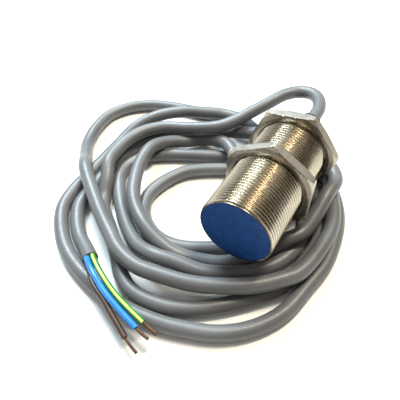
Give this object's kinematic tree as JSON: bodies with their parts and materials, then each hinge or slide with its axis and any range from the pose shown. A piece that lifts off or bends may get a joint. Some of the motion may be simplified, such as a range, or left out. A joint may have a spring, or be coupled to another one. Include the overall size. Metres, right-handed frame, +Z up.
{
  "type": "proximity sensor",
  "caption": "Cylindrical inductive proximity sensor in a threaded metal barrel, with flush plastic face, jam nuts and a loosely coiled cable with bare core ends.",
  "frame": {"origin": "centre of the sensing face, on the barrel's axis", "axes": "+Y along the barrel from the sensing face to the cable, +Z up with the sensor lying on its cable, +X to the right looking along +Y"},
  "size_m": [0.1403, 0.1501, 0.049],
  "materials": {
    "plated_brass": "satin nickel plating over brass",
    "tinned_metal": "bright tin",
    "blue_face": "satin, slightly worn",
    "seal_rubber": "matte",
    "ferrite": "matte sintered",
    "bobbin_plastic": "matte",
    "copper_wire": "bare copper",
    "holder_plastic": "matte",
    "board": "matte",
    "chip_black": "matte",
    "ceramic": "matte",
    "capacitor_sleeve": "matte",
    "varistor": "matte",
    "potting": "matte",
    "cap_plastic": "matte",
    "gland_rubber": "matte",
    "clamp_brass": "plain",
    "cable_sheath": "soft PVC, dull sheen",
    "core_blue": "semi-gloss PVC",
    "core_brown": "semi-gloss PVC",
    "core_green_yellow": "green PVC with a yellow stripe"
  },
  "bodies": {
    "sensor": {"barrel": "plated_brass", "earth_tag": "tinned_metal", "face_cap": "blue_face", "face_seal": "seal_rubber", "rear_seal": "seal_rubber", "ferrite_core": "ferrite", "coil_bobbin": "bobbin_plastic", "coil_winding": "copper_wire", "core_holder": "holder_plastic", "circuit_board": "board", "oscillator_chip": "chip_black", "chip_resistors": "chip_black", "ceramic_capacitors": "ceramic", "smoothing_capacitor": "capacitor_sleeve", "bridge_rectifier": "chip_black", "output_thyristor": "chip_black", "surge_varistor": "varistor", "potting_plug": "potting", "rear_cap": "cap_plastic", "cable_gland": "gland_rubber", "cable_clamp": "clamp_brass", "sheath_tail": "cable_sheath", "cable": "cable_sheath", "lead_blue": "core_blue", "lead_brown": "core_brown", "lead_earth": "core_green_yellow", "core_blue": "core_blue", "core_brown": "core_brown", "core_green_yellow": "core_green_yellow", "strands_blue": "copper_wire", "strands_brown": "copper_wire", "strands_green_yellow": "copper_wire"},
    "front_nut": {"front_nut": "plated_brass"},
    "rear_nut": {"rear_nut": "plated_brass"}
  },
  "joints": [
    {"name": "front_nut_travel", "type": "slide", "parent": "sensor", "child": "front_nut", "axis": [0, 1, 0], "range_m": [-0.0245, 0.009]},
    {"name": "rear_nut_travel", "type": "slide", "parent": "sensor", "child": "rear_nut", "axis": [0, 1, 0], "range_m": [-0.009, 0.002]}
  ]
}
